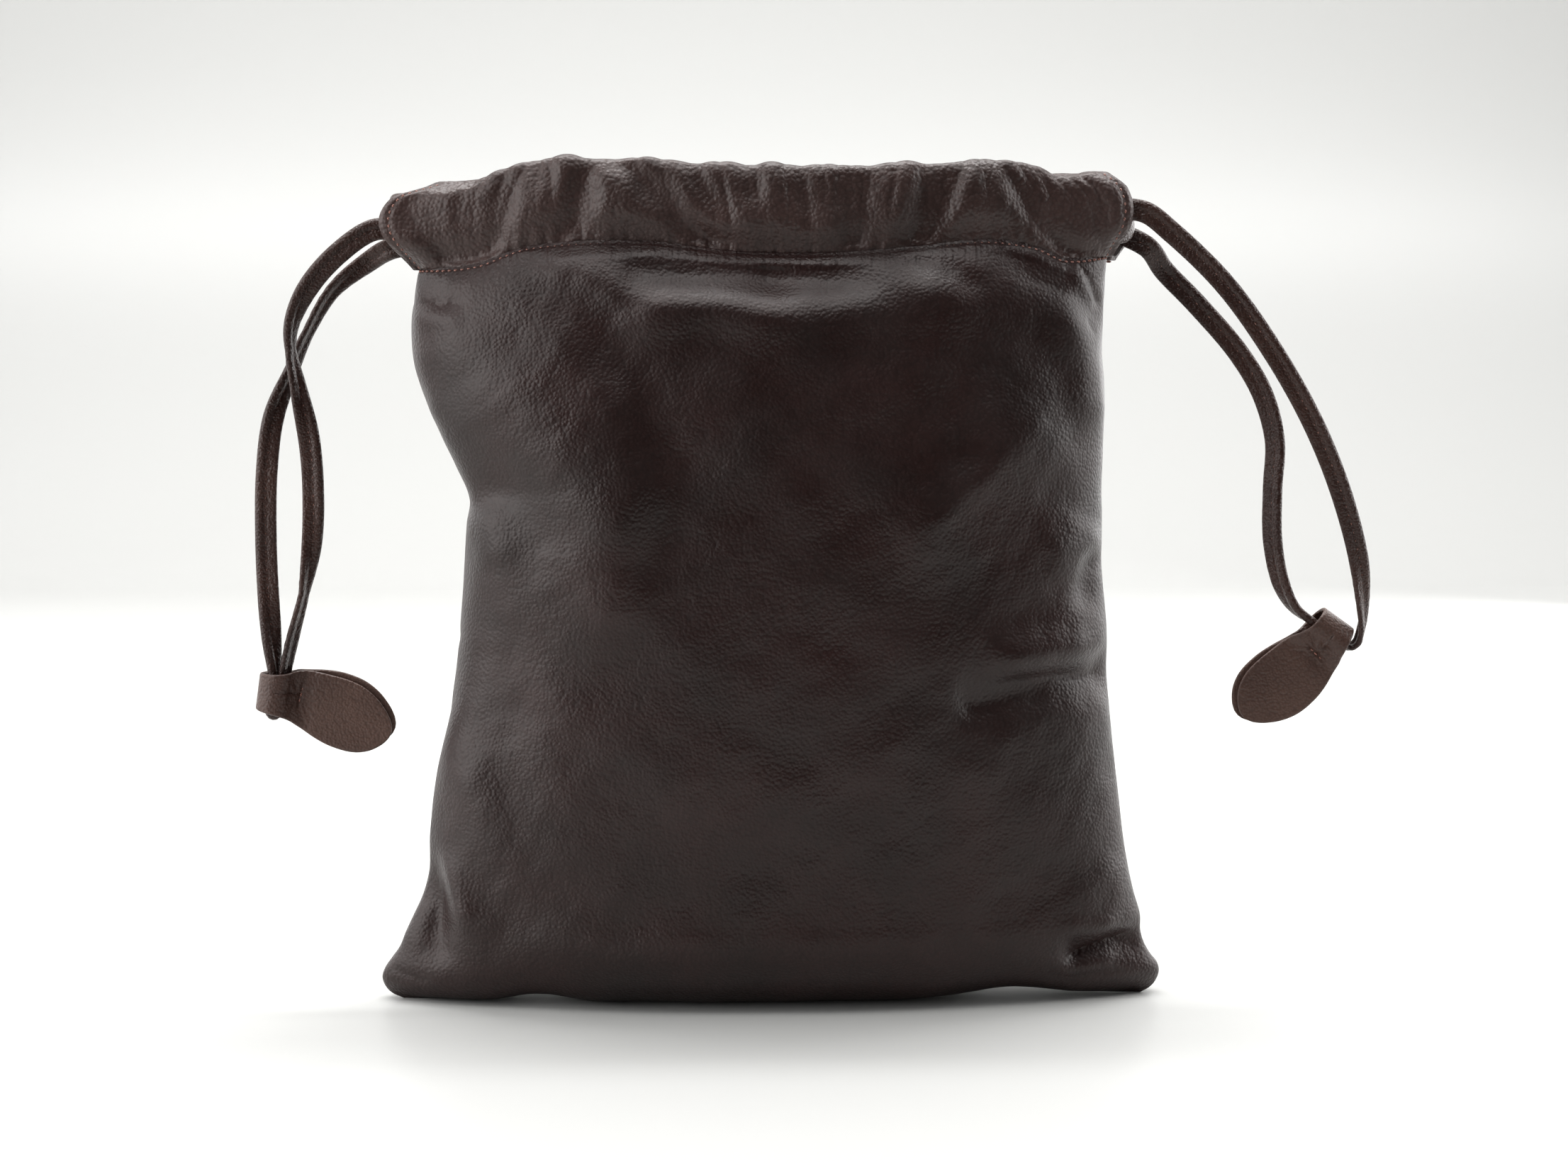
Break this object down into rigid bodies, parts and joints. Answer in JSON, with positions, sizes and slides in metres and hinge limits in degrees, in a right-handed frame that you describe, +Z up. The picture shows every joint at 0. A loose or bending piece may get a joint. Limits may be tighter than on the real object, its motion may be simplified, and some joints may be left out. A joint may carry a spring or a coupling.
{
  "type": "drawstring pouch",
  "caption": "Soft leather pouch that stands on its base, with a gathered casing round an open mouth and flat drawstrings pulled from both sides through leaf-shaped pulls.",
  "frame": {"origin": "on the floor under the middle of the pouch, in the plane of its side seams", "axes": "+Z up from the base to the mouth, -Y out of the front panel, +X to the right as seen from the front"},
  "size_m": [0.3888, 0.0898, 0.2925],
  "materials": {
    "body_leather": "semi-gloss nappa",
    "casing_leather": "semi-gloss nappa",
    "strap_leather": "semi-gloss",
    "pull_leather": "semi-gloss"
  },
  "bodies": {
    "root": {"front_panel": "body_leather", "back_panel": "body_leather", "front_casing": "casing_leather", "back_casing": "casing_leather", "drawstring_left": "strap_leather", "drawstring_right": "strap_leather", "drawstring_left_run": "strap_leather", "drawstring_right_run": "strap_leather", "pull_left": "pull_leather", "pull_right": "pull_leather"}
  },
  "joints": []
}
